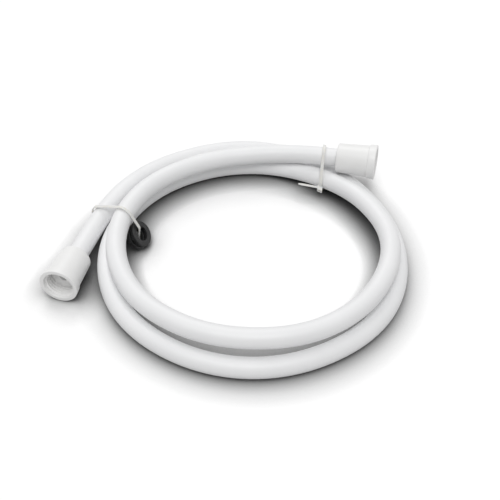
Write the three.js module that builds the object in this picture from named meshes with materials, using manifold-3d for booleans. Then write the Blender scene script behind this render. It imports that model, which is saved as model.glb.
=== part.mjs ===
// Shower hose of smooth white vinyl, coiled the way it is sold and laid on the floor.
// A swivel nut turns on the barbed tail at each end, two nylon cable ties hold the
// coil together, and two rubber sealing washers hang on one of the ties.
// Millimetres, +Z up, floor at z = 0, origin on the floor below the middle of the part.

import * as THREE from 'three';
import { mergeVertices } from 'three/addons/utils/BufferGeometryUtils.js';
import Module from 'manifold-3d';

const wasm = await Module();
wasm.setup();

// Hose
const HOSE_DIAMETER = 14;
const HOSE_BORE = 8.8;
const HOSE_SIDES = 12;

// Route of the hose, clockwise seen from above: how far its middle line is from the
// coil's centre and how high it is lifted off the floor, at every station of the turn
const COIL_CENTRE = new THREE.Vector2(16.45, -8.25);
const FIRST_STATION = 150;
const STATION_STEP = 30;
const COIL_RADII = [
  145.2, 120.7, 112, 114.3, 116, 110, 105, 103.5, 102.5, 99.5, 99.5,
  100.5, 103, 102.5, 100.5, 99.5, 99, 96, 95, 96.5, 93,
  89.5, 87, 89, 93.5, 96, 95.5, 92.5, 93.5, 104.5, 130.5,
];
const COIL_LIFTS = [
  10.6, 4.4, 9.9, 5.2, 2.9, 1.8, 0.5, 0, 0, 0, 0,
  0, 0.4, 1.8, 1.6, 0.3, 0.7, 4.6, 11, 14.4, 14,
  14, 14, 13.5, 13.3, 14.5, 14.8, 15, 15.8, 19, 23,
];
const START_AFTER = 24.2;
const END_AFTER = 876;
const SECTION_STEP = 12;

// Swivel nut, conical, with a lip band round its mouth
const NUT_LENGTH = 30;
const NUT_REAR_DIAMETER = 22.5;
const NUT_REAR_ROUNDING = 1.2;
const NUT_NECK_DIAMETER = 24.4;
const NUT_LIP_DIAMETER = 27;
const NUT_LIP_TAPER = 0.4;
const NUT_LIP_LENGTH = 6;
const NUT_LIP_CHAMFER = 0.6;
const NUT_MOUTH_DIAMETER = 21.8;
const NUT_MOUTH_DEPTH = 0.5;
const THREAD_MINOR_DIAMETER = 18.63;
const SHOULDER_DEPTH = 11.5;

// Tail that carries the nut and the washer, and the ferrule round the hose's end
const TAIL_FLANGE_THICKNESS = 2;
const TAIL_FLANGE_CHAMFER = 0.3;
const TAIL_STEM_LENGTH = 15;
const TAIL_BARB_COUNT = 4;
const TAIL_BARB_DEPTH = 0.6;
const TAIL_BORE = 5.8;
const FERRULE_LENGTH = 14;
const FERRULE_WALL = 0.6;
const FERRULE_ROUNDING = 0.2;

// Sealing washers, hanging on the left tie and leaning on the inside of the coil
const WASHER_DIAMETER = 18.7;
const WASHER_HOLE = 10.8;
const WASHER_THICKNESS = 3;
const WASHER_EDGE = 0.35;
const WASHER_SPACING = 0.3;
const WASHER_YAW = 1;
const WASHER_RISE = 37;
const WASHER_ASIDE = -0.5;
const BACK_WASHER_SHIFT = 1.5;

// Cable ties
const TIE_WIDTH = 2.5;
const TIE_THICKNESS = 0.9;
const TIE_HEAD_LENGTH = 4.6;
const TIE_HEAD_WIDTH = 4.2;
const TIE_HEAD_HEIGHT = 3;
const TIE_HEAD_TAPER = 0.7;
const TIE_TAIL_WIDTH = 2.1;
const TIE_TAIL_LENGTH = 17;
const TIE_REACH = 105;
const LEFT_TIE_AFTER = 43.3;
const RIGHT_TIE_AFTER = 150.5;
const LEFT_TIE = { turn: FIRST_STATION + LEFT_TIE_AFTER, yaw: 12.7, headStrand: 0, headAngle: -50 };
const RIGHT_TIE = { turn: FIRST_STATION + RIGHT_TIE_AFTER, yaw: -23.6, headStrand: 1, headAngle: 195 };
const RIGHT_TAIL = { across: -0.03, along: -1, up: 0.12 };
const STRAP_CORNER_RADIUS = 1;

// Clearances
const TOUCH = 0.3;
const TIE_CLEARANCE = 0.95;
const WASHER_TO_HOSE = 0.4;
const WASHER_TO_FLOOR = 0.4;
const STRAP_TO_WASHER = 1;
const STRAP_TO_FLOOR = 0.05;

// Smoothness of turned and rounded shapes
const NUT_SEGMENTS = 40;
const SMALL_SEGMENTS = 28;
const ARC_STEPS = 2;
const STRAP_SAMPLES = 28;

// Sizes that follow from the ones above
const START_TURN = FIRST_STATION + START_AFTER;
const END_TURN = FIRST_STATION + END_AFTER;
const HOSE_RADIUS = HOSE_DIAMETER / 2;
const FERRULE_INNER_RADIUS = HOSE_RADIUS + TOUCH;
const FERRULE_OUTER_RADIUS = FERRULE_INNER_RADIUS + FERRULE_WALL;
const NUT_BORE_RADIUS = FERRULE_OUTER_RADIUS + TOUCH;
const SHOULDER_AT = NUT_LENGTH - SHOULDER_DEPTH;
const FLANGE_AT = SHOULDER_AT + TOUCH;
const FLANGE_RADIUS = THREAD_MINOR_DIAMETER / 2 - TOUCH;
const HOSE_END_AT = FLANGE_AT - TOUCH;
const STEM_RADIUS = HOSE_BORE / 2 - TOUCH;

const UP = new THREE.Vector3(0, 0, 1);

const VINYL = { color: 0xf2f3f4, roughness: 0.32, metalness: 0 };
const NUT_PLASTIC = { color: 0xf0f1f2, roughness: 0.28, metalness: 0 };
const TAIL_PLASTIC = { color: 0xe9eaeb, roughness: 0.36, metalness: 0 };
const STEEL = { color: 0xc9cacc, roughness: 0.3, metalness: 1 };
const RUBBER = { color: 0x161617, roughness: 0.75, metalness: 0 };
const NYLON = { color: 0xf1efe6, roughness: 0.4, metalness: 0 };

function radians(degrees) {
  return THREE.MathUtils.degToRad(degrees);
}

// Smooth value between the stations
function atTurn(values, turn) {
  const place = (turn - FIRST_STATION) / STATION_STEP;
  const last = values.length - 1;
  const index = THREE.MathUtils.clamp(Math.floor(place), 0, last - 1);
  const b = values[index];
  const c = values[index + 1];
  const a = index > 0 ? values[index - 1] : 2 * b - c;
  const d = index + 2 <= last ? values[index + 2] : 2 * c - b;
  return catmullRom(a, b, c, d, place - index);
}

function catmullRom(a, b, c, d, t) {
  return b + 0.5 * t * (c - a + t * (2 * a - 5 * b + 4 * c - d + t * (3 * (b - c) + d - a)));
}

function hosePoint(turn) {
  const radius = atTurn(COIL_RADII, turn);
  return new THREE.Vector3(
    COIL_CENTRE.x + radius * Math.cos(radians(turn)),
    COIL_CENTRE.y - radius * Math.sin(radians(turn)),
    HOSE_RADIUS + atTurn(COIL_LIFTS, turn),
  );
}

function hoseDirection(turn) {
  const halfDegree = 0.5;
  return hosePoint(turn + halfDegree).sub(hosePoint(turn - halfDegree)).normalize();
}

// The two ends: where the nut's rear face stands and which way the nut points
const END_A = { rear: hosePoint(START_TURN), axis: hoseDirection(START_TURN).negate() };
const END_B = { rear: hosePoint(END_TURN), axis: hoseDirection(END_TURN) };

function alongEnd(end, distance) {
  return end.rear.clone().addScaledVector(end.axis, distance);
}

// Path with a hose section at equal steps of the turn and a straight stretch in each nut
class HoseRoute extends THREE.Curve {
  constructor() {
    super();
    this.points = [alongEnd(END_A, HOSE_END_AT), END_A.rear];
    this.tangents = [END_A.axis.clone().negate(), END_A.axis.clone().negate()];
    const firstTurn = SECTION_STEP * Math.ceil((START_TURN + 1) / SECTION_STEP);
    for (let turn = firstTurn; turn < END_TURN; turn += SECTION_STEP) {
      this.points.push(hosePoint(turn));
      this.tangents.push(hoseDirection(turn));
    }
    this.points.push(END_B.rear, alongEnd(END_B, HOSE_END_AT));
    this.tangents.push(END_B.axis, END_B.axis);
    this.steps = this.points.length - 1;
  }

  getPoint(t, target = new THREE.Vector3()) {
    return target.copy(this.points[Math.round(t * this.steps)]);
  }

  getPointAt(u, target = new THREE.Vector3()) {
    return this.getPoint(u, target);
  }

  getTangentAt(u, target = new THREE.Vector3()) {
    return target.copy(this.tangents[Math.round(u * this.steps)]);
  }
}

// Solid for joins and cuts, from a closed geometry with its vertices merged
function toSolid(geometry) {
  const bare = geometry.clone();
  bare.deleteAttribute('normal');
  bare.deleteAttribute('uv');
  const merged = mergeVertices(bare);
  return new wasm.Manifold(new wasm.Mesh({
    numProp: 3,
    vertProperties: new Float32Array(merged.attributes.position.array),
    triVerts: new Uint32Array(merged.index.array),
  }));
}

function toGeometry(solid) {
  const mesh = solid.getMesh();
  const geometry = new THREE.BufferGeometry();
  geometry.setAttribute('position', new THREE.BufferAttribute(mesh.vertProperties, 3));
  geometry.setIndex(new THREE.BufferAttribute(mesh.triVerts, 1));
  geometry.computeVertexNormals();
  return geometry;
}

function namedMesh(name, geometry, finish) {
  const mesh = new THREE.Mesh(geometry, new THREE.MeshStandardMaterial(finish));
  mesh.name = name;
  return mesh;
}

// Puts a turned piece, made about +Y, on a point with its +Y along an axis
function placeAlong(object, point, axis) {
  object.position.copy(point);
  object.quaternion.setFromUnitVectors(new THREE.Vector3(0, 1, 0), axis);
  return object;
}

// Socket for a tail's stem, as a cutter that ends outside the hose
function stemSocket(end) {
  const depth = TAIL_STEM_LENGTH + TOUCH;
  const cutter = new THREE.CylinderGeometry(HOSE_BORE / 2, HOSE_BORE / 2, 2 * depth, SMALL_SEGMENTS);
  const placed = placeAlong(new THREE.Object3D(), alongEnd(end, HOSE_END_AT), end.axis);
  placed.updateMatrix();
  return toSolid(cutter.applyMatrix4(placed.matrix));
}

function makeHose() {
  const route = new HoseRoute();
  const section = new THREE.Shape().absarc(0, 0, HOSE_RADIUS, 0, 2 * Math.PI);
  const tube = new THREE.ExtrudeGeometry(section, {
    extrudePath: route,
    steps: route.steps,
    curveSegments: HOSE_SIDES / 2,
  });
  const solid = toSolid(tube).subtract(stemSocket(END_A)).subtract(stemSocket(END_B));
  return namedMesh('hose', toGeometry(solid), VINYL);
}

// Half section of the nut: radius across, distance from the rear face upwards
function nutProfile() {
  const rear = NUT_REAR_DIAMETER / 2;
  const neck = NUT_NECK_DIAMETER / 2;
  const lip = NUT_LIP_DIAMETER / 2;
  const mouth = NUT_MOUTH_DIAMETER / 2;
  const thread = THREAD_MINOR_DIAMETER / 2;
  const lipAt = NUT_LENGTH - NUT_LIP_LENGTH;
  const threadAt = NUT_LENGTH - NUT_MOUTH_DEPTH;
  const path = new THREE.Path();
  path.moveTo(NUT_BORE_RADIUS, 0);
  path.lineTo(rear - NUT_REAR_ROUNDING, 0);
  path.absarc(rear - NUT_REAR_ROUNDING, NUT_REAR_ROUNDING, NUT_REAR_ROUNDING, -Math.PI / 2, 0);
  path.lineTo(neck, lipAt);
  path.lineTo(lip - NUT_LIP_TAPER, lipAt + NUT_LIP_TAPER);
  path.lineTo(lip, NUT_LENGTH - NUT_LIP_CHAMFER);
  path.lineTo(lip - NUT_LIP_CHAMFER, NUT_LENGTH);
  path.lineTo(mouth, NUT_LENGTH);
  path.lineTo(thread, threadAt - (mouth - thread) / 2);
  path.lineTo(thread, SHOULDER_AT);
  path.lineTo(NUT_BORE_RADIUS, SHOULDER_AT);
  path.lineTo(NUT_BORE_RADIUS, 0);
  return path.getPoints(ARC_STEPS);
}

function makeNut(name, end) {
  const geometry = new THREE.LatheGeometry(nutProfile(), NUT_SEGMENTS);
  return placeAlong(namedMesh(name, geometry, NUT_PLASTIC), end.rear, end.axis);
}

// Half section of the tail: a barbed stem in the hose and a flange that takes the washer
function tailProfile() {
  const bore = TAIL_BORE / 2;
  const stemEnd = FLANGE_AT - TAIL_STEM_LENGTH;
  const face = FLANGE_AT + TAIL_FLANGE_THICKNESS;
  const pitch = TAIL_STEM_LENGTH / (TAIL_BARB_COUNT + 1);
  const path = new THREE.Path();
  path.moveTo(bore, stemEnd);
  for (let barb = 0; barb < TAIL_BARB_COUNT; barb += 1) {
    path.lineTo(STEM_RADIUS - TAIL_BARB_DEPTH, stemEnd + barb * pitch);
    path.lineTo(STEM_RADIUS, stemEnd + (barb + 0.85) * pitch);
  }
  path.lineTo(STEM_RADIUS - TAIL_BARB_DEPTH, stemEnd + TAIL_BARB_COUNT * pitch);
  path.lineTo(STEM_RADIUS - TAIL_BARB_DEPTH, FLANGE_AT);
  path.lineTo(FLANGE_RADIUS, FLANGE_AT);
  path.lineTo(FLANGE_RADIUS, face - TAIL_FLANGE_CHAMFER);
  path.lineTo(FLANGE_RADIUS - TAIL_FLANGE_CHAMFER, face);
  path.lineTo(bore, face);
  path.lineTo(bore, stemEnd);
  return path.getPoints();
}

function makeTail(name, end) {
  const geometry = new THREE.LatheGeometry(tailProfile(), SMALL_SEGMENTS);
  return placeAlong(namedMesh(name, geometry, TAIL_PLASTIC), end.rear, end.axis);
}

// Half section of the ferrule, its open edge turned in a little
function ferruleProfile() {
  const front = HOSE_END_AT - TOUCH;
  const back = front - FERRULE_LENGTH;
  const path = new THREE.Path();
  path.moveTo(FERRULE_INNER_RADIUS, back);
  path.lineTo(FERRULE_OUTER_RADIUS - FERRULE_ROUNDING, back);
  path.lineTo(FERRULE_OUTER_RADIUS, back + FERRULE_ROUNDING);
  path.lineTo(FERRULE_OUTER_RADIUS, front);
  path.lineTo(FERRULE_INNER_RADIUS, front);
  path.lineTo(FERRULE_INNER_RADIUS, back);
  return path.getPoints();
}

function makeFerrule(name, end) {
  const geometry = new THREE.LatheGeometry(ferruleProfile(), SMALL_SEGMENTS);
  return placeAlong(namedMesh(name, geometry, STEEL), end.rear, end.axis);
}

// Half section of a sealing washer, from its back face upwards
function washerProfile() {
  const hole = WASHER_HOLE / 2;
  const rim = WASHER_DIAMETER / 2;
  const path = new THREE.Path();
  path.moveTo(hole, 0);
  path.lineTo(rim - WASHER_EDGE, 0);
  path.lineTo(rim, WASHER_EDGE);
  path.lineTo(rim, WASHER_THICKNESS - WASHER_EDGE);
  path.lineTo(rim - WASHER_EDGE, WASHER_THICKNESS);
  path.lineTo(hole, WASHER_THICKNESS);
  path.lineTo(hole, 0);
  return path.getPoints();
}

function makeWasher(name, place) {
  const geometry = new THREE.LatheGeometry(washerProfile(), SMALL_SEGMENTS);
  return placeAlong(namedMesh(name, geometry, RUBBER), place, WASHERS.axis);
}

// Upright plane of a tie, turned by its yaw out of the plane across the coil
function tiePlane(tie) {
  const outward = new THREE.Vector3(Math.cos(radians(tie.turn)), -Math.sin(radians(tie.turn)), 0);
  const onward = new THREE.Vector3().crossVectors(outward, UP);
  const origin = new THREE.Vector3(COIL_CENTRE.x, COIL_CENTRE.y, 0).addScaledVector(outward, TIE_REACH);
  const across = outward.multiplyScalar(Math.cos(radians(tie.yaw)));
  across.addScaledVector(onward, Math.sin(radians(tie.yaw)));
  const skew = onward.clone().divideScalar(Math.cos(radians(tie.yaw)));
  return { origin, across, skew, along: across.clone().cross(UP) };
}

function inPlane(plane, point) {
  return new THREE.Vector2(point.clone().sub(plane.origin).dot(plane.across), point.z);
}

function fromPlane(plane, spot) {
  return plane.origin.clone().addScaledVector(plane.across, spot.x).setZ(spot.y);
}

// Turn at which the hose passes through a tie's plane, close to a given turn
function crossingTurn(plane, nearTurn) {
  const degree = 1;
  let turn = nearTurn;
  for (let round = 0; round < 5; round += 1) {
    const offset = hosePoint(turn).sub(plane.origin).dot(plane.along);
    const pace = hosePoint(turn + degree).sub(hosePoint(turn)).dot(plane.along) / degree;
    turn -= offset / pace;
  }
  return turn;
}

// Strand as the tie's plane cuts it, with the hose's own direction as its lean
function strandDisc(plane, nearTurn) {
  const turn = crossingTurn(plane, nearTurn);
  const direction = hoseDirection(turn);
  return {
    centre: inPlane(plane, hosePoint(turn)),
    radius: HOSE_RADIUS + TIE_CLEARANCE,
    lean: new THREE.Vector2(direction.dot(plane.across), direction.z),
  };
}

// The three strands that a tie holds, from the first turn of the coil to the last
function heldStrands(plane, tie) {
  return [0, 360, 720].map((turns) => strandDisc(plane, tie.turn + turns));
}

// Point of a disc's edge, drawn out where the strand leans along the plane
function discPoint(disc, angle, offset) {
  const ray = new THREE.Vector2(Math.cos(angle), Math.sin(angle));
  const drawn = Math.sqrt(1 - ray.dot(disc.lean) ** 2);
  return ray.multiplyScalar((disc.radius + offset) / drawn).add(disc.centre);
}

// Taut line round a set of discs, kept a distance off them
function tautLine(discs, offset) {
  const points = [];
  for (const disc of discs) {
    for (let sample = 0; sample < STRAP_SAMPLES; sample += 1) {
      points.push(discPoint(disc, (sample / STRAP_SAMPLES) * 2 * Math.PI, offset));
    }
  }
  points.sort((a, b) => a.x - b.x || a.y - b.y);
  const lower = halfHull(points);
  const upper = halfHull(points.reverse());
  return [...lower.slice(0, -1), ...upper.slice(0, -1)];
}

function halfHull(points) {
  const hull = [];
  for (const point of points) {
    while (hull.length > 1 && !turnsLeft(hull[hull.length - 2], hull[hull.length - 1], point)) {
      hull.pop();
    }
    hull.push(point);
  }
  return hull;
}

function turnsLeft(a, b, c) {
  const tiny = 1e-6;
  return (b.x - a.x) * (c.y - a.y) - (b.y - a.y) * (c.x - a.x) > tiny;
}

// Extrudes an outline of the tie's plane both ways along the strands
function slab(plane, shape, width) {
  const geometry = new THREE.ExtrudeGeometry(shape, { depth: width, bevelEnabled: false });
  geometry.translate(0, 0, -width / 2);
  const basis = new THREE.Matrix4().makeBasis(plane.across, UP, plane.skew);
  basis.setPosition(plane.origin);
  return toSolid(geometry.applyMatrix4(basis));
}

// Moulded head of a tie, standing off the strap over one of the strands
function tieHead(plane, disc, angle) {
  const foot = discPoint(disc, angle, 0);
  const shape = new THREE.Shape();
  const top = TIE_THICKNESS + TIE_HEAD_HEIGHT;
  shape.moveTo(-TIE_HEAD_LENGTH / 2, 0);
  shape.lineTo(TIE_HEAD_LENGTH / 2, 0);
  shape.lineTo(TIE_HEAD_LENGTH / 2 - TIE_HEAD_TAPER, top);
  shape.lineTo(TIE_HEAD_TAPER - TIE_HEAD_LENGTH / 2, top);
  const turned = shape.getPoints().map((point) => point.rotateAround(new THREE.Vector2(), angle - Math.PI / 2));
  return slab(plane, new THREE.Shape(turned.map((point) => point.add(foot))), TIE_HEAD_WIDTH);
}

// Loose end of a tie, a straight strip out of its head
function tieTail(plane, disc, angle, lay) {
  const direction = new THREE.Vector3(0, 0, lay.up);
  direction.addScaledVector(plane.across, lay.across).addScaledVector(plane.along, lay.along).normalize();
  const root = fromPlane(plane, discPoint(disc, angle, TIE_THICKNESS / 2));
  const strip = new THREE.BoxGeometry(TIE_TAIL_WIDTH, TIE_TAIL_LENGTH, TIE_THICKNESS);
  strip.translate(0, TIE_TAIL_LENGTH / 2, 0);
  const placed = placeAlong(new THREE.Object3D(), root, direction);
  placed.updateMatrix();
  return toSolid(strip.applyMatrix4(placed.matrix));
}

function tieLoop(plane, discs) {
  const band = new THREE.Shape(tautLine(discs, TIE_THICKNESS));
  band.holes.push(new THREE.Path(tautLine(discs, 0)));
  return slab(plane, band, TIE_WIDTH);
}

// Turn at which a point lies, as an angle from 0 to 360 degrees
function turnOf(point) {
  const angle = Math.atan2(COIL_CENTRE.y - point.y, point.x - COIL_CENTRE.x);
  return THREE.MathUtils.euclideanModulo(THREE.MathUtils.radToDeg(angle), 360);
}

// How far a point can go along a direction until it is a clearance off the coil's top strand
function wayToTopStrand(point, direction) {
  const strandTurn = turnOf(point) + 720;
  const strand = hoseDirection(strandTurn);
  const aside = point.clone().sub(hosePoint(strandTurn)).projectOnPlane(strand);
  const pace = direction.clone().projectOnPlane(strand);
  const nearing = aside.dot(pace) / pace.lengthSq();
  const apart = (aside.lengthSq() - (HOSE_RADIUS + WASHER_TO_HOSE) ** 2) / pace.lengthSq();
  return nearing ** 2 < apart ? Infinity : -nearing - Math.sqrt(nearing ** 2 - apart);
}

// Edges of both faces of a washer
function rimPoints(place, axis) {
  const side = UP.clone().cross(axis).normalize();
  const points = [];
  for (let segment = 0; segment < SMALL_SEGMENTS; segment += 1) {
    const ray = side.clone().applyAxisAngle(axis, (segment / SMALL_SEGMENTS) * 2 * Math.PI);
    const rim = place.clone().addScaledVector(ray, WASHER_DIAMETER / 2);
    points.push(rim, rim.clone().addScaledVector(axis, WASHER_THICKNESS));
  }
  return points;
}

// The washers' common axis and the middle of each one's back face: they hang in the tie's
// plane, tipped inwards, and are pushed outwards until one leans on the top strand
function placeWashers(plane) {
  const facing = radians(LEFT_TIE.turn - WASHER_YAW);
  const rise = radians(WASHER_RISE);
  const axis = new THREE.Vector3(-Math.cos(facing), Math.sin(facing), Math.tan(rise)).normalize();
  const shift = UP.clone().cross(axis).setLength(BACK_WASHER_SHIFT);
  const back = new THREE.Vector3(0, 0, WASHER_TO_FLOOR + (WASHER_DIAMETER / 2) * Math.cos(rise));
  const front = back.clone().addScaledVector(axis, WASHER_SPACING + WASHER_THICKNESS).add(shift);
  const inside = fromPlane(plane, new THREE.Vector2(-TIE_REACH / 2, 0)).addScaledVector(plane.along, WASHER_ASIDE);
  inside.sub(front).setZ(0);
  front.add(inside);
  back.add(inside);
  for (let round = 0; round < 3; round += 1) {
    const rims = [...rimPoints(front, axis), ...rimPoints(back, axis)];
    const way = Math.min(...rims.map((point) => wayToTopStrand(point, plane.across)));
    front.addScaledVector(plane.across, way);
    back.addScaledVector(plane.across, way);
  }
  return { axis, front, back };
}

const LEFT_PLANE = tiePlane(LEFT_TIE);
const WASHERS = placeWashers(LEFT_PLANE);

// Edge of a washer's hole, above or below its middle, where the strap's corner passes it
function holeEdge(plane, middle, upward) {
  const aside = Math.abs(middle.clone().sub(plane.origin).dot(plane.along)) + TIE_WIDTH / 2;
  const chord = Math.sqrt((WASHER_HOLE / 2) ** 2 - aside ** 2);
  return middle.clone().addScaledVector(upward, chord);
}

// Places where the washers' holes hold the left strap off the hose
function washerGuides(plane) {
  const slope = WASHERS.axis.clone().cross(plane.along).normalize();
  const upward = slope.z > 0 ? slope : slope.negate();
  const upright = new THREE.Vector2();
  const frontFace = WASHERS.front.clone().addScaledVector(WASHERS.axis, WASHER_THICKNESS);
  const frontEdge = holeEdge(plane, frontFace, upward);
  const backEdge = holeEdge(plane, WASHERS.back, upward.clone().negate());
  const corner = inPlane(plane, backEdge);
  corner.x += STRAP_TO_WASHER + TIE_THICKNESS + STRAP_CORNER_RADIUS;
  corner.y = STRAP_TO_FLOOR + TIE_THICKNESS + STRAP_CORNER_RADIUS;
  return [
    { centre: inPlane(plane, frontEdge), radius: STRAP_TO_WASHER, lean: upright },
    { centre: corner, radius: STRAP_CORNER_RADIUS, lean: upright },
  ];
}

function makeLeftTie() {
  const strands = heldStrands(LEFT_PLANE, LEFT_TIE);
  const loop = tieLoop(LEFT_PLANE, [...strands, ...washerGuides(LEFT_PLANE)]);
  const head = tieHead(LEFT_PLANE, strands[LEFT_TIE.headStrand], radians(LEFT_TIE.headAngle));
  return namedMesh('tie_left', toGeometry(loop.add(head)), NYLON);
}

function makeRightTie() {
  const plane = tiePlane(RIGHT_TIE);
  const strands = heldStrands(plane, RIGHT_TIE);
  const headStrand = strands[RIGHT_TIE.headStrand];
  const angle = radians(RIGHT_TIE.headAngle);
  const head = tieHead(plane, headStrand, angle);
  const tail = tieTail(plane, headStrand, angle, RIGHT_TAIL);
  const whole = tieLoop(plane, strands).add(head).add(tail);
  return namedMesh('tie_right', toGeometry(whole), NYLON);
}

function makeEnd(letter, end) {
  const group = new THREE.Group();
  group.add(makeTail(`tail_${letter}`, end));
  group.add(makeFerrule(`ferrule_${letter}`, end));
  group.add(makeNut(`nut_${letter}`, end));
  return group;
}

const showerHose = new THREE.Group();
showerHose.add(makeHose());
showerHose.add(makeEnd('a', END_A));
showerHose.add(makeEnd('b', END_B));
showerHose.add(makeLeftTie());
showerHose.add(makeRightTie());
showerHose.add(makeWasher('washer_front', WASHERS.front));
showerHose.add(makeWasher('washer_back', WASHERS.back));

export default showerHose;
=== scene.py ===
# Shower hose of smooth white vinyl, coiled and tied, on a white floor in soft light.

import math

import bmesh
import bpy
from mathutils import Matrix, Vector


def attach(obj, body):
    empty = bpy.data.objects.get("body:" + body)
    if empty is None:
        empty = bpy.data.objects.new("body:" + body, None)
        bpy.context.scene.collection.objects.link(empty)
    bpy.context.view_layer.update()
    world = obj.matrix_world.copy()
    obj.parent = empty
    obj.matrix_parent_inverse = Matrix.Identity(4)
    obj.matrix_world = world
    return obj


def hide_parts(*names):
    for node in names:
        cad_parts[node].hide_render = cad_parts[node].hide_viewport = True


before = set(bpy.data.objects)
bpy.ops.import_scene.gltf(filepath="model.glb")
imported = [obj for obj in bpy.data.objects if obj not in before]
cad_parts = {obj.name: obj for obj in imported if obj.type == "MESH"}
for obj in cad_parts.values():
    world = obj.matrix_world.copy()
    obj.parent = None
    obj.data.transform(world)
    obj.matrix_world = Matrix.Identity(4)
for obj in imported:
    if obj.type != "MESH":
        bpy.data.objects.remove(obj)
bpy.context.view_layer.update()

MM = 0.001
UP = Vector((0, 0, 1))

# Hose and its route, in millimetres: how far its middle line is from the coil's centre
# and how high it is lifted off the floor, at every station of the turn in degrees
HOSE_DIAMETER = 14
HOSE_BORE = 8.8
COIL_CENTRE = (16.45, -8.25)
FIRST_STATION = 150
STATION_STEP = 30
COIL_RADII = [
    145.2, 120.7, 112, 114.3, 116, 110, 105, 103.5, 102.5, 99.5, 99.5,
    100.5, 103, 102.5, 100.5, 99.5, 99, 96, 95, 96.5, 93,
    89.5, 87, 89, 93.5, 96, 95.5, 92.5, 93.5, 104.5, 130.5,
]
COIL_LIFTS = [
    10.6, 4.4, 9.9, 5.2, 2.9, 1.8, 0.5, 0, 0, 0, 0,
    0, 0.4, 1.8, 1.6, 0.3, 0.7, 4.6, 11, 14.4, 14,
    14, 14, 13.5, 13.3, 14.5, 14.8, 15, 15.8, 19, 23,
]
START_TURN = FIRST_STATION + 24.2
END_TURN = FIRST_STATION + 876
RING_STEP = 3
HOSE_SIDES = 40
HOSE_END_ROUNDING = 0.5
DIRECTION_PROBE = 0.5

# Degrees along the hose from its first strand at a tie to each of its strands there
STRAND_TURNS = (0, 360, 720)

# Nut, in millimetres from its rear face
NUT_LENGTH = 30
NUT_REAR_RADIUS = 11.25
NUT_REAR_ROUNDING = 1.2
NUT_NECK_RADIUS = 12.2
NUT_NECK_ROUNDING = 0.3
NUT_LIP_RADIUS = 13.5
NUT_LIP_LENGTH = 6
NUT_LIP_TAPER = 0.4
NUT_LIP_ROUNDING = 0.25
NUT_FRONT_ROUNDING = 0.5
NUT_MOUTH_RADIUS = 10.9
NUT_MOUTH_DEPTH = 0.6
NUT_MOUTH_ROUNDING = 0.25
NUT_BORE_RADIUS = 8.2
NUT_BORE_ROUNDING = 0.4
SHOULDER_AT = 18.5
SHOULDER_ROUNDING = 0.2
NUT_SEGMENTS = 128

# Thread in the nut's mouth; the halves are distances from the middle of its ridge
THREAD_MINOR_RADIUS = 9.315
THREAD_MAJOR_RADIUS = 10.48
THREAD_PITCH = 1.814
THREAD_ROOT_FROM = 20.6
THREAD_ROOT_SLOPE = 0.5
THREAD_FROM = 21.5
THREAD_TO = 28.6
THREAD_RUN_OUT_TURNS = 0.6
THREAD_LOWEST_SHARE = 0.02
THREAD_CREST_HALF = 0.12
THREAD_SIDE_HALF = 0.24
THREAD_CREST_BEVEL = 0.06
THREAD_ROOT_HALF = 0.72
THREAD_SUNK_HALF = 0.8
THREAD_SUNK_DEPTH = 0.15
THREAD_STEPS_PER_TURN = 72
THREAD_SMOOTH_ANGLE = 50
THREAD_START_A = 0.1
THREAD_START_B = 0.4

# Tail and ferrule, in millimetres from the nut's rear face
FLANGE_AT = 18.8
FLANGE_RADIUS = 9.015
FLANGE_THICKNESS = 2
FLANGE_BACK_ROUNDING = 0.2
FLANGE_FACE_ROUNDING = 0.35
TAIL_BORE_RADIUS = 2.9
TAIL_BORE_ROUNDING = 0.4
STEM_RADIUS = 4.1
STEM_LENGTH = 15
STEM_BARBS = 4
BARB_DEPTH = 0.6
BARB_SLOPE_SHARE = 0.85
SOCKET_CLEARANCE = 0.3
HOSE_END_AT = 18.5
FERRULE_INNER_RADIUS = 7.3
FERRULE_OUTER_RADIUS = 7.9
FERRULE_FROM = 4.2
FERRULE_TO = 18.2
FERRULE_INNER_ROUNDING = 0.15
FERRULE_OUTER_ROUNDING = 0.25
FERRULE_FRONT_ROUNDING = 0.1
TAIL_SEGMENTS = 72
ROUNDING_STEPS = 5

# Sealing washers on the left tie: their axis points to the middle of the coil, turned by
# a yaw, and up by a rise
WASHER_RADIUS = 9.35
WASHER_HOLE_RADIUS = 5.4
WASHER_THICKNESS = 3
WASHER_ROUNDING = 0.25
WASHER_SEGMENTS = 96
WASHER_SPACING = 0.3
WASHER_YAW = 1
WASHER_RISE = 37
WASHER_ASIDE = -0.5
BACK_WASHER_SHIFT = 1.5
WASHER_TO_HOSE = 0.4
WASHER_TO_FLOOR = 0.4
WASHER_RIM_POINTS = 28
WASHER_SLIDES = 3

# Cable ties: each stands at a turn of the coil, with a yaw out of the plane across the
# hose there, and has its head on one of the strands at an angle round it
TIE_WIDTH = 2.5
TIE_THICKNESS = 0.9
TIE_CLEARANCE = 0.95
TIE_REACH = 105
TIE_HEAD_LENGTH = 4.6
TIE_HEAD_WIDTH = 4.2
TIE_HEAD_HEIGHT = 3
TIE_HEAD_TAPER = 0.7
TIE_HEAD_NARROWING = 0.15
TIE_HEAD_BEVEL = 0.3
TIE_HEAD_BEVEL_STEPS = 3
TIE_HEAD_CORNERS = ((1, 1), (-1, 1), (-1, -1), (1, -1))
SLOT_HALF_LENGTH = 0.65
SLOT_CLEARANCE = 0.1
SLOT_WIDENING = 0.25
SLOT_FLOOR = 0.4
TIE_TAIL_WIDTH = 2.1
TIE_TAIL_LENGTH = 17
TIE_TIP_LENGTH = 3
TIE_TIP_SHARE = 0.55
LEFT_TIE = {"turn": FIRST_STATION + 43.3, "yaw": 12.7, "head_strand": 0, "head_angle": -50}
RIGHT_TIE = {"turn": FIRST_STATION + 150.5, "yaw": -23.6, "head_strand": 1, "head_angle": 195}
RIGHT_TAIL = {"across": -0.03, "along": -1, "up": 0.12}
STRAP_TO_WASHER = 1
STRAP_TO_FLOOR = 0.05
STRAP_CORNER_RADIUS = 1
STRAP_BEVEL = 0.22
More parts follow.
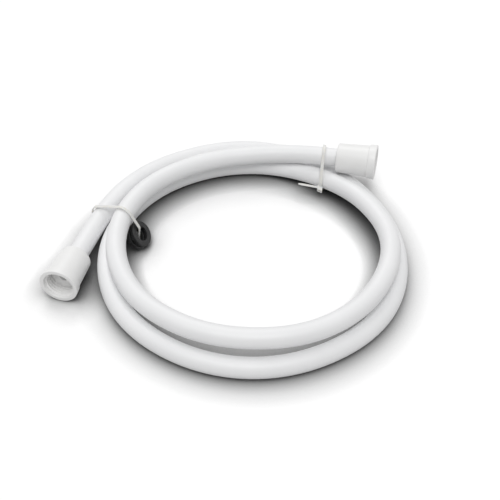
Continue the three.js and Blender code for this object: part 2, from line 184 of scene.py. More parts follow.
STRAP_FLAT_SHARE = 0.62
STRAP_SPACING = 0.3
STRAP_SMOOTH_ANGLE = 30
TOOTH_PITCH = 0.9
TOOTH_HEIGHT = 0.12
TAUT_SAMPLES = 120
LEAST_BEND = 1e-6
CROSSING_STEPS = 5

# Camera, from the photograph: it looks along +Y and down on the point AIM, with its
# distance in millimetres and the start of its view in metres
AIM = Vector((14.45, 2.75, 0))
CAMERA_ELEVATION = 45.49
CAMERA_ROLL = 1.53
CAMERA_DISTANCE = 573.52
FOCAL_PIXELS = 782.93
PHOTO_PIXELS = 500
SENSOR = 36
CLIP_START = 0.01

# Floor and light, in metres: the floor throws light back with its colour, and the camera
# sees it lighter, with painted shade close to the part; a lamp is a soft sun that shines from its
# place towards the middle
FLOOR_SIZE = 12
FLOOR_HEIGHT = -0.0002
FLOOR_COLOUR = 0.6
FLOOR_SEEN = 1.08
# Painted shade on the floor: how far the ambient occlusion reaches, how deep it darkens, and its
# samples
PAINTED_SHADE_REACH = 0.021
PAINTED_SHADE_DEPTH = 1.6
PAINTED_SHADE_SAMPLES = 16
WORLD_STRENGTH = 0.45
WORLD_SEEN = 1
KEY_PLACE = (-0.05, -0.5, 1.2)
KEY_STRENGTH = 1.18
BACK_PLACE = (-0.25, 0.85, 1.0)
BACK_STRENGTH = 0.7
LIGHT_SPREAD = 34

# Looks: noise of a scale and a detail varies colour, roughness and height of the surface
VINYL_LOOK = {
    "plain_colour": (0.87, 0.873, 0.88),
    "plain_roughness": 0.45,
    "colour": {"scale": 35, "detail": 2, "low": (0.86, 0.863, 0.87), "high": (0.88, 0.882, 0.888)},
    "roughness": {"scale": 220, "detail": 4, "low": 0.4, "high": 0.5},
    "bump": {"scale": 420, "detail": 3, "strength": 0.12, "distance": 0.0002},
}
NUT_LOOK = {
    "plain_colour": (0.87, 0.868, 0.862),
    "plain_roughness": 0.36,
    "colour": {"scale": 60, "detail": 2, "low": (0.862, 0.86, 0.853), "high": (0.88, 0.878, 0.872)},
    "roughness": {"scale": 300, "detail": 4, "low": 0.32, "high": 0.42},
    "bump": {"scale": 900, "detail": 2, "strength": 0.08, "distance": 0.0001},
}
STEEL_LOOK = {
    "plain_colour": (0.78, 0.78, 0.79),
    "plain_roughness": 0.22,
    "metallic": 1,
    "colour": {
        "scale": 400, "detail": 4,
        "low": (0.663, 0.663, 0.6715), "high": (0.78, 0.78, 0.79),
    },
    "roughness": {"scale": 900, "detail": 3, "low": 0.22, "high": 0.38},
}
RUBBER_LOOK = {
    "plain_colour": (0.01, 0.01, 0.0105),
    "plain_roughness": 0.42,
    "colour": {
        "scale": 500, "detail": 4,
        "low": (0.006, 0.006, 0.0063), "high": (0.011, 0.011, 0.0115),
    },
    "roughness": {"scale": 700, "detail": 4, "low": 0.34, "high": 0.5},
    "bump": {"scale": 1600, "detail": 3, "strength": 0.3, "distance": 0.0001},
}
NYLON_LOOK = {
    "plain_colour": (0.77, 0.765, 0.74),
    "plain_roughness": 0.38,
    "colour": {"scale": 200, "detail": 3, "low": (0.75, 0.745, 0.72), "high": (0.79, 0.785, 0.76)},
    "roughness": {"scale": 900, "detail": 3, "low": 0.32, "high": 0.46},
    "subsurface": {"weight": 0.4, "radius": (0.0015, 0.0014, 0.0012), "scale": 1},
}
NOISE_TO_COLOUR = (0.35, 0.65)
NOISE_TO_ROUGHNESS = (0.3, 0.7)


def catmull_rom(a, b, c, d, t):
    return b + 0.5 * t * (c - a + t * (2 * a - 5 * b + 4 * c - d + t * (3 * (b - c) + d - a)))


def at_turn(values, turn):
    """Smooth value between the stations."""
    place = (turn - FIRST_STATION) / STATION_STEP
    last = len(values) - 1
    index = min(max(math.floor(place), 0), last - 1)
    b = values[index]
    c = values[index + 1]
    a = values[index - 1] if index > 0 else 2 * b - c
    d = values[index + 2] if index + 2 <= last else 2 * c - b
    return catmull_rom(a, b, c, d, place - index)


def hose_point(turn):
    radius = at_turn(COIL_RADII, turn)
    angle = math.radians(turn)
    return Vector((
        COIL_CENTRE[0] + radius * math.cos(angle),
        COIL_CENTRE[1] - radius * math.sin(angle),
        HOSE_DIAMETER / 2 + at_turn(COIL_LIFTS, turn),
    ))


def hose_direction(turn):
    ahead = hose_point(turn + DIRECTION_PROBE)
    behind = hose_point(turn - DIRECTION_PROBE)
    return (ahead - behind).normalized()


END_A = {"rear": hose_point(START_TURN), "axis": -hose_direction(START_TURN)}
END_B = {"rear": hose_point(END_TURN), "axis": hose_direction(END_TURN)}


def along_end(end, distance):
    return end["rear"] + end["axis"] * distance


def make_camera():
    data = bpy.data.cameras.new("photo_camera")
    camera = bpy.data.objects.new("photo_camera", data)
    bpy.context.scene.collection.objects.link(camera)
    elevation = math.radians(CAMERA_ELEVATION)
    roll = math.radians(CAMERA_ROLL)
    back = Vector((0, -math.cos(elevation), math.sin(elevation)))
    right = Vector((1, 0, 0))
    up = back.cross(right)
    rolled_right = right * math.cos(roll) + up * math.sin(roll)
    rolled_up = up * math.cos(roll) - right * math.sin(roll)
    axes = Matrix((rolled_right, rolled_up, back)).transposed()
    camera.matrix_world = Matrix.Translation((AIM + back * CAMERA_DISTANCE) * MM) @ axes.to_4x4()
    data.sensor_width = SENSOR
    data.lens = FOCAL_PIXELS / PHOTO_PIXELS * SENSOR
    data.clip_start = CLIP_START
    bpy.context.scene.camera = camera


make_camera()


def mesh_object(name, verts, faces, material, smooth_angle=40):
    """Closed mesh from points in millimetres, smooth except at sharp edges."""
    mesh = bpy.data.meshes.new(name)
    mesh.from_pydata([tuple(v * MM) for v in verts], [], faces)
    mesh.validate()
    work = bmesh.new()
    work.from_mesh(mesh)
    bmesh.ops.recalc_face_normals(work, faces=work.faces)
    work.to_mesh(mesh)
    work.free()
    mesh.shade_smooth()
    mesh.set_sharp_from_angle(angle=math.radians(smooth_angle))
    piece = bpy.data.objects.new(name, mesh)
    bpy.context.scene.collection.objects.link(piece)
    mesh.materials.append(material)
    return piece


def ring_faces(rings, sides, closed):
    """Quads between rings of points, and between the last and the first if closed."""
    faces = []
    for ring in range(rings if closed else rings - 1):
        following = (ring + 1) % rings
        for side in range(sides):
            turned = (side + 1) % sides
            faces.append((
                ring * sides + side,
                ring * sides + turned,
                following * sides + turned,
                following * sides + side,
            ))
    return faces


def bar_object(name, rings, material, smooth_angle=40):
    """Closed bar through rings of points, with a cap at either end."""
    sides = len(rings[0])
    verts = [point for ring in rings for point in ring]
    faces = ring_faces(len(rings), sides, False)
    faces.append(tuple(range(sides)))
    faces.append(tuple(len(verts) - sides + side for side in range(sides)))
    return mesh_object(name, verts, faces, material, smooth_angle)


def add_noise(material, values):
    nodes = material.node_tree.nodes
    links = material.node_tree.links
    place = nodes.new("ShaderNodeTexCoord")
    noise = nodes.new("ShaderNodeTexNoise")
    noise.inputs["Scale"].default_value = values["scale"]
    noise.inputs["Detail"].default_value = values["detail"]
    links.new(place.outputs["Object"], noise.inputs["Vector"])
    return noise.outputs["Fac"]


def vary_colour(material, shader, values):
    ramp = material.node_tree.nodes.new("ShaderNodeValToRGB")
    for stop, position, end in zip(ramp.color_ramp.elements, NOISE_TO_COLOUR, ("low", "high")):
        stop.position = position
        stop.color = (*values[end], 1)
    material.node_tree.links.new(add_noise(material, values), ramp.inputs["Fac"])
    material.node_tree.links.new(ramp.outputs["Color"], shader.inputs["Base Color"])


def vary_roughness(material, shader, values):
    spread = material.node_tree.nodes.new("ShaderNodeMapRange")
    spread.inputs["From Min"].default_value = NOISE_TO_ROUGHNESS[0]
    spread.inputs["From Max"].default_value = NOISE_TO_ROUGHNESS[1]
    spread.inputs["To Min"].default_value = values["low"]
    spread.inputs["To Max"].default_value = values["high"]
    material.node_tree.links.new(add_noise(material, values), spread.inputs["Value"])
    material.node_tree.links.new(spread.outputs["Result"], shader.inputs["Roughness"])


def add_bump(material, shader, values):
    bump = material.node_tree.nodes.new("ShaderNodeBump")
    bump.inputs["Strength"].default_value = values["strength"]
    bump.inputs["Distance"].default_value = values["distance"]
    material.node_tree.links.new(add_noise(material, values), bump.inputs["Height"])
    material.node_tree.links.new(bump.outputs["Normal"], shader.inputs["Normal"])


def make_material(name, look):
    """Principled material; bump and light below the surface only where its look has them."""
    material = bpy.data.materials.new(name)
    material.use_nodes = True
    shader = material.node_tree.nodes["Principled BSDF"]
    shader.inputs["Base Color"].default_value = (*look["plain_colour"], 1)
    shader.inputs["Roughness"].default_value = look["plain_roughness"]
    shader.inputs["Metallic"].default_value = look.get("metallic", 0)
    vary_colour(material, shader, look["colour"])
    vary_roughness(material, shader, look["roughness"])
    if "bump" in look:
        add_bump(material, shader, look["bump"])
    if "subsurface" in look:
        shader.inputs["Subsurface Weight"].default_value = look["subsurface"]["weight"]
        shader.inputs["Subsurface Radius"].default_value = look["subsurface"]["radius"]
        shader.inputs["Subsurface Scale"].default_value = look["subsurface"]["scale"]
    return material


VINYL = make_material("vinyl_white", VINYL_LOOK)
NUT_WHITE = make_material("nut_white", NUT_LOOK)
TAIL_WHITE = make_material("tail_white", NUT_LOOK)
STEEL = make_material("steel_pressed", STEEL_LOOK)
RUBBER = make_material("rubber_black", RUBBER_LOOK)
NYLON = make_material("nylon_natural", NYLON_LOOK)


def hose_route():
    """Middle line of the hose from end to end, with the way it points at each place."""
    points = [(along_end(END_A, HOSE_END_AT), -END_A["axis"])]
    points.append((along_end(END_A, HOSE_END_AT / 2), -END_A["axis"]))
    turn = START_TURN
    while turn < END_TURN:
        points.append((hose_point(turn), hose_direction(turn)))
        turn += RING_STEP
    points.append((hose_point(END_TURN), hose_direction(END_TURN)))
    points.append((along_end(END_B, HOSE_END_AT / 2), END_B["axis"]))
    points.append((along_end(END_B, HOSE_END_AT), END_B["axis"]))
    return points


def section_ring(centre, direction, radius, sides):
    side = direction.cross(UP).normalized()
    rise = side.cross(direction)
    ring = []
    for step in range(sides):
        angle = 2 * math.pi * step / sides
        ring.append(centre + side * (radius * math.cos(angle)) + rise * (radius * math.sin(angle)))
    return ring


def make_hose():
    """Hose with a socket for the stem at each end, and the points of its middle line."""
    route = hose_route()
    outer = HOSE_DIAMETER / 2
    bore = HOSE_BORE / 2
    depth = STEM_LENGTH + SOCKET_CLEARANCE
    first, forward = route[0]
    last, onward = route[-1]
    rings = [section_ring(first + forward * depth, forward, bore, HOSE_SIDES)]
    rings.append(section_ring(first, forward, bore, HOSE_SIDES))
    rings.append(section_ring(first, forward, outer - HOSE_END_ROUNDING, HOSE_SIDES))
    rings.append(section_ring(first + forward * HOSE_END_ROUNDING, forward, outer, HOSE_SIDES))
    for centre, direction in route[1:-1]:
        rings.append(section_ring(centre, direction, outer, HOSE_SIDES))
    rings.append(section_ring(last - onward * HOSE_END_ROUNDING, onward, outer, HOSE_SIDES))
    rings.append(section_ring(last, onward, outer - HOSE_END_ROUNDING, HOSE_SIDES))
    rings.append(section_ring(last, onward, bore, HOSE_SIDES))
    rings.append(section_ring(last - onward * depth, onward, bore, HOSE_SIDES))
    return bar_object("hose_tube", rings, VINYL), [point for point, _ in route]


def rounded(corners):
    """Profile with arcs at its corners: each corner is (radius across, height, rounding)."""
    points = []
    count = len(corners)
    for index, (x, y, fillet) in enumerate(corners):
        here = Vector((x, y))
        if fillet <= 0:
            points.append(here)
            continue
        before = (Vector(corners[index - 1][:2]) - here).normalized()
        after = (Vector(corners[(index + 1) % count][:2]) - here).normalized()
        half = before.angle(after) / 2
        reach = fillet / math.tan(half)
        middle = here + (before + after).normalized() * (fillet / math.sin(half))
        start = here + before * reach - middle
        finish = here + after * reach - middle
        sweep = start.angle_signed(finish)
        for step in range(ROUNDING_STEPS + 1):
            turned = start.copy()
            turned.rotate(Matrix.Rotation(-sweep * step / ROUNDING_STEPS, 2))
            points.append(middle + turned)
    return points


def revolve(name, profile, base, axis, segments, material, smooth_angle=35):
    """Closed turned piece: the profile goes round an axis that starts at a base point."""
    side = axis.cross(UP).normalized()
    rise = side.cross(axis)
    verts = []
    for segment in range(segments):
        angle = 2 * math.pi * segment / segments
        ray = side * math.cos(angle) + rise * math.sin(angle)
        for point in profile:
            verts.append(base + axis * point.y + ray * point.x)
    faces = ring_faces(segments, len(profile), True)
    return mesh_object(name, verts, faces, material, smooth_angle)


def nut_profile():
    lip_at = NUT_LENGTH - NUT_LIP_LENGTH
    return rounded([
        (NUT_BORE_RADIUS, 0, NUT_BORE_ROUNDING),
        (NUT_REAR_RADIUS, 0, NUT_REAR_ROUNDING),
        (NUT_NECK_RADIUS, lip_at, NUT_NECK_ROUNDING),
        (NUT_LIP_RADIUS - NUT_LIP_TAPER, lip_at + NUT_LIP_TAPER, NUT_LIP_ROUNDING),
        (NUT_LIP_RADIUS, NUT_LENGTH, NUT_FRONT_ROUNDING),
        (NUT_MOUTH_RADIUS, NUT_LENGTH, NUT_MOUTH_ROUNDING),
        (THREAD_MAJOR_RADIUS, NUT_LENGTH - NUT_MOUTH_DEPTH, 0),
        (THREAD_MAJOR_RADIUS, THREAD_ROOT_FROM + THREAD_ROOT_SLOPE, 0),
        (THREAD_MINOR_RADIUS, THREAD_ROOT_FROM, 0),
        (THREAD_MINOR_RADIUS, SHOULDER_AT, SHOULDER_ROUNDING),
        (NUT_BORE_RADIUS, SHOULDER_AT, SHOULDER_ROUNDING),
    ])


def thread_section(share):
    """Section of the thread's ridge at a share of its full height, sunk into the bore."""
    crest = THREAD_MAJOR_RADIUS - (THREAD_MAJOR_RADIUS - THREAD_MINOR_RADIUS) * share
    flank = [
        (THREAD_MAJOR_RADIUS + THREAD_SUNK_DEPTH, THREAD_SUNK_HALF),
        (THREAD_MAJOR_RADIUS, THREAD_ROOT_HALF),
        (crest + THREAD_CREST_BEVEL, THREAD_SIDE_HALF),
        (crest, THREAD_CREST_HALF),
    ]
    return [(radius, -half) for radius, half in flank] + flank[::-1]


def make_thread(name, end, start):
    """Thread ridge inside a nut: a helix from a share of a turn, that runs out at both ends."""
    axis = end["axis"]
    side = axis.cross(UP).normalized()
    rise = side.cross(axis)
    turns = (THREAD_TO - THREAD_FROM) / THREAD_PITCH
    rings = []
    for step in range(int(turns * THREAD_STEPS_PER_TURN) + 1):
        done = step / THREAD_STEPS_PER_TURN
        left = turns - done
        share = min(1, done / THREAD_RUN_OUT_TURNS, left / THREAD_RUN_OUT_TURNS)
        section = thread_section(max(share, THREAD_LOWEST_SHARE))
        angle = 2 * math.pi * (done + start)
        ray = side * math.cos(angle) - rise * math.sin(angle)
        height = THREAD_FROM + done * THREAD_PITCH
        rings.append([along_end(end, height + offset) + ray * radius for radius, offset in section])
    return bar_object(name, rings, NUT_WHITE, THREAD_SMOOTH_ANGLE)


def tail_profile():
    face = FLANGE_AT + FLANGE_THICKNESS
    stem_end = FLANGE_AT - STEM_LENGTH
    pitch = STEM_LENGTH / (STEM_BARBS + 1)
    low = STEM_RADIUS - BARB_DEPTH
    corners = [(TAIL_BORE_RADIUS, stem_end, 0)]
    for barb in range(STEM_BARBS):
        corners.append((low, stem_end + barb * pitch, 0))
        corners.append((STEM_RADIUS, stem_end + (barb + BARB_SLOPE_SHARE) * pitch, 0))
    corners.append((low, stem_end + STEM_BARBS * pitch, 0))
    corners.append((low, FLANGE_AT, 0))
    corners.append((FLANGE_RADIUS, FLANGE_AT, FLANGE_BACK_ROUNDING))
    corners.append((FLANGE_RADIUS, face, FLANGE_FACE_ROUNDING))
    corners.append((TAIL_BORE_RADIUS, face, TAIL_BORE_ROUNDING))
    return rounded(corners)


def ferrule_profile():
    return rounded([
        (FERRULE_INNER_RADIUS, FERRULE_FROM, FERRULE_INNER_ROUNDING),
        (FERRULE_OUTER_RADIUS, FERRULE_FROM, FERRULE_OUTER_ROUNDING),
        (FERRULE_OUTER_RADIUS, FERRULE_TO, FERRULE_FRONT_ROUNDING),
        (FERRULE_INNER_RADIUS, FERRULE_TO, FERRULE_FRONT_ROUNDING),
    ])


def dress_end(letter, end, thread_start):
    rear = end["rear"]
    axis = end["axis"]
    nut = revolve(f"nut_{letter}_shell", nut_profile(), rear, axis, NUT_SEGMENTS, NUT_WHITE)
    thread = make_thread(f"nut_{letter}_thread", end, thread_start)
    tail = revolve(f"tail_{letter}_turned", tail_profile(), rear, axis, TAIL_SEGMENTS, TAIL_WHITE)
    ferrule = revolve(
        f"ferrule_{letter}_pressed", ferrule_profile(), rear, axis, TAIL_SEGMENTS, STEEL,
    )
    for piece in (nut, thread):
        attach(piece, f"nut_{letter}")
    for piece in (tail, ferrule):
        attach(piece, "coil")
    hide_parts(f"nut_{letter}")
    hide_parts(f"tail_{letter}")
    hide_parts(f"ferrule_{letter}")
    return [nut, thread, tail, ferrule]


def make_washer(name, node, axis, place):
    profile = rounded([
        (WASHER_HOLE_RADIUS, 0, WASHER_ROUNDING),
        (WASHER_RADIUS, 0, WASHER_ROUNDING),
        (WASHER_RADIUS, WASHER_THICKNESS, WASHER_ROUNDING),
        (WASHER_HOLE_RADIUS, WASHER_THICKNESS, WASHER_ROUNDING),
    ])
    washer = revolve(name, profile, place, axis, WASHER_SEGMENTS, RUBBER)
    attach(washer, "coil")
    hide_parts(node)


def tie_plane(tie):
    """Upright plane of a tie, turned by its yaw out of the plane across the coil."""
    turn = math.radians(tie["turn"])
    yaw = math.radians(tie["yaw"])
    outward = Vector((math.cos(turn), -math.sin(turn), 0))
    onward = outward.cross(UP)
    origin = Vector((*COIL_CENTRE, 0)) + outward * TIE_REACH
    across = outward * math.cos(yaw) + onward * math.sin(yaw)
    return {
        "origin": origin,
        "across": across,
        "along": across.cross(UP),
        "skew": onward / math.cos(yaw),
    }


def in_plane(plane, point):
    """Spot of a point in a tie's plane: across, and up."""
    return Vector(((point - plane["origin"]).dot(plane["across"]), point.z))


def from_plane(plane, spot, shift=0):
    """Point of a spot in a tie's plane, or shifted out of the plane along the hose."""
    place = plane["origin"] + plane["across"] * spot.x + plane["skew"] * shift
    return Vector((place.x, place.y, spot.y))


def crossing_turn(plane, near_turn):
    """Turn at which the hose passes through a plane, near to a turn."""
    turn = near_turn
    for _ in range(CROSSING_STEPS):
        offset = (hose_point(turn) - plane["origin"]).dot(plane["along"])
        pace = (hose_point(turn + 1) - hose_point(turn)).dot(plane["along"])
        turn -= offset / pace
    return turn


def strand_disc(plane, near_turn):
    """Strand of the hose as a tie's plane meets it, with how far the strand leans from it."""
    turn = crossing_turn(plane, near_turn)
    direction = hose_direction(turn)
    return {
        "centre": in_plane(plane, hose_point(turn)),
        "radius": HOSE_DIAMETER / 2 + TIE_CLEARANCE,
        "lean": Vector((direction.dot(plane["across"]), direction.z)),
    }


def disc_point(disc, angle, offset):
    """Spot off a disc's edge, which its lean draws out to an ellipse."""
    ray = Vector((math.cos(angle), math.sin(angle)))
    drawn = math.sqrt(1 - ray.dot(disc["lean"]) ** 2)
    return disc["centre"] + ray * ((disc["radius"] + offset) / drawn)


def held_strands(plane, tie):
    return [strand_disc(plane, tie["turn"] + turns) for turns in STRAND_TURNS]


def turn_of(point):
    """Turn of the coil, below a full circle, at which a point stands."""
    return math.degrees(math.atan2(COIL_CENTRE[1] - point.y, point.x - COIL_CENTRE[0])) % 360


def flattened(vector, normal):
    """Part of a vector that is square to a normal."""
    return vector - normal * vector.dot(normal)


def way_to_top_strand(point, direction):
    """How far a point goes along a direction until it leans on the top strand of the hose."""
    turn = turn_of(point) + STRAND_TURNS[-1]
    strand = hose_direction(turn)
    aside = flattened(point - hose_point(turn), strand)
    pace = flattened(direction, strand)
    nearing = aside.dot(pace) / pace.length_squared
    apart = (aside.length_squared - (HOSE_DIAMETER / 2 + WASHER_TO_HOSE) ** 2) / pace.length_squared
    if nearing ** 2 < apart:
        return math.inf
    return -nearing - math.sqrt(nearing ** 2 - apart)


def rim_points(place, axis):
    """Points round both faces of a washer, from the middle of its back face."""
    ring = section_ring(place, axis, WASHER_RADIUS, WASHER_RIM_POINTS)
    return ring + [point + axis * WASHER_THICKNESS for point in ring]


def washer_places(plane):
    """Axis of the washers, and the middle of the back face of the front one and the back one."""
    facing = math.radians(LEFT_TIE["turn"] - WASHER_YAW)
    rise = math.radians(WASHER_RISE)
    axis = Vector((-math.cos(facing), math.sin(facing), math.tan(rise))).normalized()
    shift = UP.cross(axis).normalized() * BACK_WASHER_SHIFT
    back = Vector((0, 0, WASHER_TO_FLOOR + WASHER_RADIUS * math.cos(rise)))
    front = back + axis * (WASHER_SPACING + WASHER_THICKNESS) + shift
    inside = from_plane(plane, Vector((-TIE_REACH / 2, 0))) + plane["along"] * WASHER_ASIDE - front
    inside.z = 0
    front += inside
    back += inside
    for _ in range(WASHER_SLIDES):
        rims = rim_points(front, axis) + rim_points(back, axis)
        way = min(way_to_top_strand(point, plane["across"]) for point in rims)
        front += plane["across"] * way
        back += plane["across"] * way
    return axis, front, back


def hole_edge(plane, middle, upward):
    """Edge of a washer's hole, above or below its middle, where the strap's corner passes it."""
    aside = abs((middle - plane["origin"]).dot(plane["along"])) + TIE_WIDTH / 2
    return middle + upward * math.sqrt(WASHER_HOLE_RADIUS ** 2 - aside ** 2)


def washer_guides(plane, axis, front, back):
    """Places where the washers' holes hold the left strap off the hose."""
    slope = axis.cross(plane["along"]).normalized()
    if slope.z < 0:
        slope.negate()
    front_edge = hole_edge(plane, front + axis * WASHER_THICKNESS, slope)
    back_edge = hole_edge(plane, back, -slope)
    corner = in_plane(plane, back_edge)
    corner.x += STRAP_TO_WASHER + TIE_THICKNESS + STRAP_CORNER_RADIUS
    corner.y = STRAP_TO_FLOOR + TIE_THICKNESS + STRAP_CORNER_RADIUS
    return [
        {"centre": in_plane(plane, front_edge), "radius": STRAP_TO_WASHER, "lean": Vector((0, 0))},
        {"centre": corner, "radius": STRAP_CORNER_RADIUS, "lean": Vector((0, 0))},
    ]


def half_hull(points):
    """Lower side of a hull for points from left to right, upper side from right to left."""
    hull = []
    for point in points:
        while len(hull) > 1:
            a = hull[-2]
            b = hull[-1]
            if (b.x - a.x) * (point.y - a.y) - (b.y - a.y) * (point.x - a.x) > LEAST_BEND:
                break
            hull.pop()
        hull.append(point)
    return hull[:-1]


def taut_line(discs):
    """Taut line round a set of discs, anticlockwise."""
    points = []
    for disc in discs:
        for sample in range(TAUT_SAMPLES):
            points.append(disc_point(disc, 2 * math.pi * sample / TAUT_SAMPLES, 0))
    points.sort(key=lambda point: (point.x, point.y))
    return half_hull(points) + half_hull(points[::-1])


def even_loop(line, start, spacing):
    """Points at even spacing round a closed line, from the one nearest to a start point."""
    first = min(range(len(line)), key=lambda index: (line[index] - start).length)
    line = line[first:] + line[:first]
    line.append(line[0])
    lengths = [0]
    for a, b in zip(line, line[1:]):
        lengths.append(lengths[-1] + (b - a).length)
    count = round(lengths[-1] / spacing)
    points = []
    index = 0
    for step in range(count + 1):
        want = lengths[-1] * step / count
        while index < len(line) - 2 and lengths[index + 1] < want:
            index += 1
        share = (want - lengths[index]) / (lengths[index + 1] - lengths[index])
        points.append(line[index].lerp(line[index + 1], share))
    return points


def strap_section(width, tooth):
    """Section of the strap: across its width, and out from its inner face."""
    half = width / 2
    flat = half * STRAP_FLAT_SHARE
    edge = half - STRAP_BEVEL
    inner = TOOTH_HEIGHT - tooth
    inner_side = inner + STRAP_BEVEL
    top = TIE_THICKNESS
    top_side = top - STRAP_BEVEL
    return [
        (-half, inner_side), (-edge, inner), (-flat, inner), (flat, inner), (edge, inner),
        (half, inner_side), (half, top_side), (edge, top), (-edge, top), (-half, top_side),
    ]


def tooth_height(length):
    """Saw teeth of the strap's inner face."""
    return TOOTH_HEIGHT * ((length / TOOTH_PITCH) % 1)


def make_strap(name, plane, discs, head_foot):
    """Strap drawn taut round its strands and guides, with its ends under the head."""
    line = even_loop(taut_line(discs), head_foot, STRAP_SPACING)
    rings = []
    for index, point in enumerate(line):
        before = line[index - 1] if index > 0 else line[-2]
        after = line[index + 1] if index + 1 < len(line) else line[1]
        heading = (after - before).normalized()
        outward = Vector((heading.y, -heading.x))
        section = strap_section(TIE_WIDTH, tooth_height(index * STRAP_SPACING))
        rings.append([from_plane(plane, point + outward * out, across) for across, out in section])
    return bar_object(name, rings, NYLON, STRAP_SMOOTH_ANGLE)


def bevelled(piece, width, steps, sharp_angle=25, smooth_angle=35):
    """Rounds the sharp edges of a closed piece in its mesh."""
    work = bmesh.new()
    work.from_mesh(piece.data)
    sharp = [edge for edge in work.edges if edge.calc_face_angle(0) > math.radians(sharp_angle)]
    bmesh.ops.bevel(
        work, geom=sharp, offset=width * MM, segments=steps, profile=0.5, affect="EDGES",
    )
    work.to_mesh(piece.data)
    work.free()
    piece.data.shade_smooth()
    piece.data.set_sharp_from_angle(angle=math.radians(smooth_angle))
    return piece


def make_head(name, plane, foot, angle):
    """Moulded head with a slot in its top, standing off the strap."""
    out = Vector((math.cos(angle), math.sin(angle)))
    along = Vector((out.y, -out.x))
    top = TIE_THICKNESS + TIE_HEAD_HEIGHT
    half_length = TIE_HEAD_LENGTH / 2
    half_width = TIE_HEAD_WIDTH / 2
    slot_half_width = TIE_TAIL_WIDTH / 2 + SLOT_CLEARANCE
    levels = [
        (0, half_length, half_width),
        (top, half_length - TIE_HEAD_TAPER, half_width - TIE_HEAD_NARROWING),
        (top, SLOT_HALF_LENGTH + SLOT_WIDENING, slot_half_width + SLOT_WIDENING / 2),
        (SLOT_FLOOR, SLOT_HALF_LENGTH, slot_half_width),
    ]
    rings = []
    for height, length, width in levels:
        ring = []
        for forward, sideways in TIE_HEAD_CORNERS:
            spot = foot + out * height + along * (length * forward)
            ring.append(from_plane(plane, spot, width * sideways))
        rings.append(ring)
    return bevelled(bar_object(name, rings, NYLON), TIE_HEAD_BEVEL, TIE_HEAD_BEVEL_STEPS)


def make_loose_end(name, plane, disc, angle, lay):
    """Loose end of the strap, toothed on one face, out of the head and along the hose."""
    direction = plane["across"] * lay["across"] + plane["along"] * lay["along"] + UP * lay["up"]
    direction.normalize()
    root = from_plane(plane, disc_point(disc, angle, TIE_THICKNESS / 2))
    across = direction.cross(UP).normalized()
    top = across.cross(direction)
    count = round(TIE_TAIL_LENGTH / STRAP_SPACING)
    rings = []
    for index in range(count + 1):
        length = TIE_TAIL_LENGTH * index / count
        to_tip = (TIE_TAIL_LENGTH - length) / TIE_TIP_LENGTH
        taper = min(1, TIE_TIP_SHARE + (1 - TIE_TIP_SHARE) * to_tip)
        base = root + direction * length - top * (TIE_THICKNESS / 2)
        section = strap_section(TIE_TAIL_WIDTH * taper, tooth_height(length))
        rings.append([base + across * sideways + top * out for sideways, out in section])
    return bar_object(name, rings, NYLON, STRAP_SMOOTH_ANGLE)


def dress_tie(side, tie, guides, tail_lay=None):
    """Strap and head of a tie, and its loose end if the tie has one."""
    plane = tie_plane(tie)
    strands = held_strands(plane, tie)
    angle = math.radians(tie["head_angle"])
    head_strand = strands[tie["head_strand"]]
    head_foot = disc_point(head_strand, angle, 0)
    strap = make_strap(f"tie_{side}_strap", plane, strands + guides, head_foot)
    pieces = [strap, make_head(f"tie_{side}_head", plane, head_foot, angle)]
    if tail_lay:
        loose_end = make_loose_end(f"tie_{side}_loose_end", plane, head_strand, angle, tail_lay)
        pieces.append(loose_end)
    for piece in pieces:
        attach(piece, "coil")
    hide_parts(f"tie_{side}")


def dress_hose():
    hose, route = make_hose()
    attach(hose, "coil")
    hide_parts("hose")
    return hose, route


hose, route = dress_hose()
dress_end("a", END_A, THREAD_START_A)
end_b_pieces = dress_end("b", END_B, THREAD_START_B)
left_plane = tie_plane(LEFT_TIE)
washers_facing, front_place, back_place = washer_places(left_plane)
make_washer("washer_front_ring", "washer_front", washers_facing, front_place)
make_washer("washer_back_ring", "washer_back", washers_facing, back_place)
left_guides = washer_guides(left_plane, washers_facing, front_place, back_place)
dress_tie("left", LEFT_TIE, left_guides)
dress_tie("right", RIGHT_TIE, [], RIGHT_TAIL)


def seen_by_eye(nodes, links):
    """1 for the camera's rays and for what it sees in glossy or clear surfaces, else 0."""
    rays = nodes.new("ShaderNodeLightPath")
    total = rays.outputs["Is Camera Ray"]
    for name in ("Is Glossy Ray", "Is Transmission Ray"):
        either = nodes.new("ShaderNodeMath")
        either.operation = "MAXIMUM"
        links.new(total, either.inputs[0])
        links.new(rays.outputs[name], either.inputs[1])
        total = either.outputs["Value"]
    return total


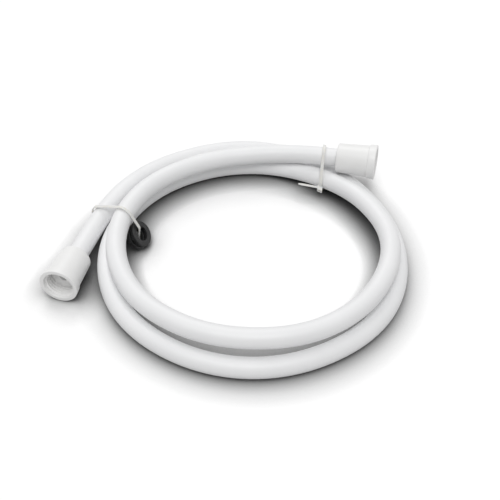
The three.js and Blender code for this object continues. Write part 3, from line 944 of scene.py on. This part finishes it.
def make_floor():
    """Plain white floor, which looks lighter than it is to the camera, with painted shade: an
    ambient occlusion node darkens the colour the camera sees close to the part.
    """
    bpy.ops.mesh.primitive_plane_add(size=FLOOR_SIZE, location=(0, 0, FLOOR_HEIGHT))
    floor = bpy.context.object
    floor.name = "floor"
    material = bpy.data.materials.new("floor_white")
    material.use_nodes = True
    nodes = material.node_tree.nodes
    links = material.node_tree.links
    nodes.clear()
    output = nodes.new("ShaderNodeOutputMaterial")
    surface = nodes.new("ShaderNodeBsdfDiffuse")
    # Painted shade: ambient occlusion darkens the floor's colour close to the part, only in the
    # colour the camera sees
    painted_shade = nodes.new("ShaderNodeAmbientOcclusion")
    painted_shade.samples = PAINTED_SHADE_SAMPLES
    painted_shade.inputs["Distance"].default_value = PAINTED_SHADE_REACH
    depth = nodes.new("ShaderNodeMath")
    depth.operation = "POWER"
    depth.inputs[1].default_value = PAINTED_SHADE_DEPTH
    links.new(painted_shade.outputs["AO"], depth.inputs[0])
    seen = nodes.new("ShaderNodeMath")
    seen.operation = "MULTIPLY"
    seen.inputs[1].default_value = FLOOR_SEEN
    links.new(depth.outputs["Value"], seen.inputs[0])
    mix = nodes.new("ShaderNodeMix")
    mix.data_type = "FLOAT"
    mix.inputs["A"].default_value = FLOOR_COLOUR
    links.new(seen.outputs["Value"], mix.inputs["B"])
    links.new(seen_by_eye(nodes, links), mix.inputs["Factor"])
    links.new(mix.outputs["Result"], surface.inputs["Color"])
    links.new(surface.outputs["BSDF"], output.inputs["Surface"])
    floor.data.materials.append(material)


def make_world():
    """Even white light all round, which looks full white to the camera."""
    world = bpy.data.worlds.new("soft_white")
    bpy.context.scene.world = world
    world.use_nodes = True
    nodes = world.node_tree.nodes
    links = world.node_tree.links
    background = nodes["Background"]
    background.inputs["Color"].default_value = (1, 1, 1, 1)
    strength = nodes.new("ShaderNodeMapRange")
    strength.inputs["To Min"].default_value = WORLD_STRENGTH
    strength.inputs["To Max"].default_value = WORLD_SEEN
    links.new(seen_by_eye(nodes, links), strength.inputs["Value"])
    links.new(strength.outputs["Result"], background.inputs["Strength"])


def make_sun(name, origin, strength):
    """Soft light of even strength from the direction of a point."""
    data = bpy.data.lights.new(name, "SUN")
    data.angle = math.radians(LIGHT_SPREAD)
    data.energy = strength
    lamp = bpy.data.objects.new(name, data)
    bpy.context.scene.collection.objects.link(lamp)
    lamp.location = origin
    lamp.rotation_euler = (-Vector(origin)).to_track_quat("-Z", "Y").to_euler()


make_floor()
make_world()
make_sun("key_light", KEY_PLACE, KEY_STRENGTH)
make_sun("back_light", BACK_PLACE, BACK_STRENGTH)

bpy.context.scene.view_settings.view_transform = "Standard"
